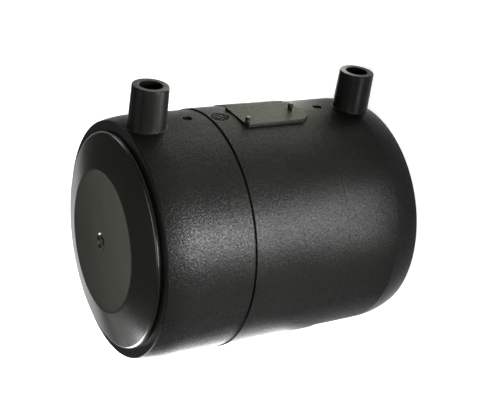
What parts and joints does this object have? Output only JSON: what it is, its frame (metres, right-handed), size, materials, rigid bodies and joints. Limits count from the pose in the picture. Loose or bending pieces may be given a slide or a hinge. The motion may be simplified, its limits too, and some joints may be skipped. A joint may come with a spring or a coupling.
{
  "type": "electrofusion end cap",
  "caption": "Black polyethylene electrofusion end cap: a welding socket with terminal shrouds, closed at one end by a flanged plug.",
  "frame": {"origin": "centre of the open mouth, on the plane of its rim", "axes": "+Z along the socket's axis from the mouth to the closed end, +X along the terminal shrouds"},
  "size_m": [0.132, 0.114, 0.1392],
  "materials": {
    "moulded_pe": "spark-textured black polyethylene",
    "smooth_pe": "smooth black polyethylene, satin",
    "resistance_wire": "drawn copper-nickel alloy",
    "terminal_brass": "turned brass"
  },
  "bodies": {
    "root": {"coupler_body": "moulded_pe", "end_plug": "smooth_pe", "heating_wire": "resistance_wire", "terminal_pin_mouth": "terminal_brass", "terminal_pin_closed_end": "terminal_brass", "indicator_pin_mouth": "smooth_pe", "indicator_pin_closed_end": "smooth_pe"}
  },
  "joints": []
}
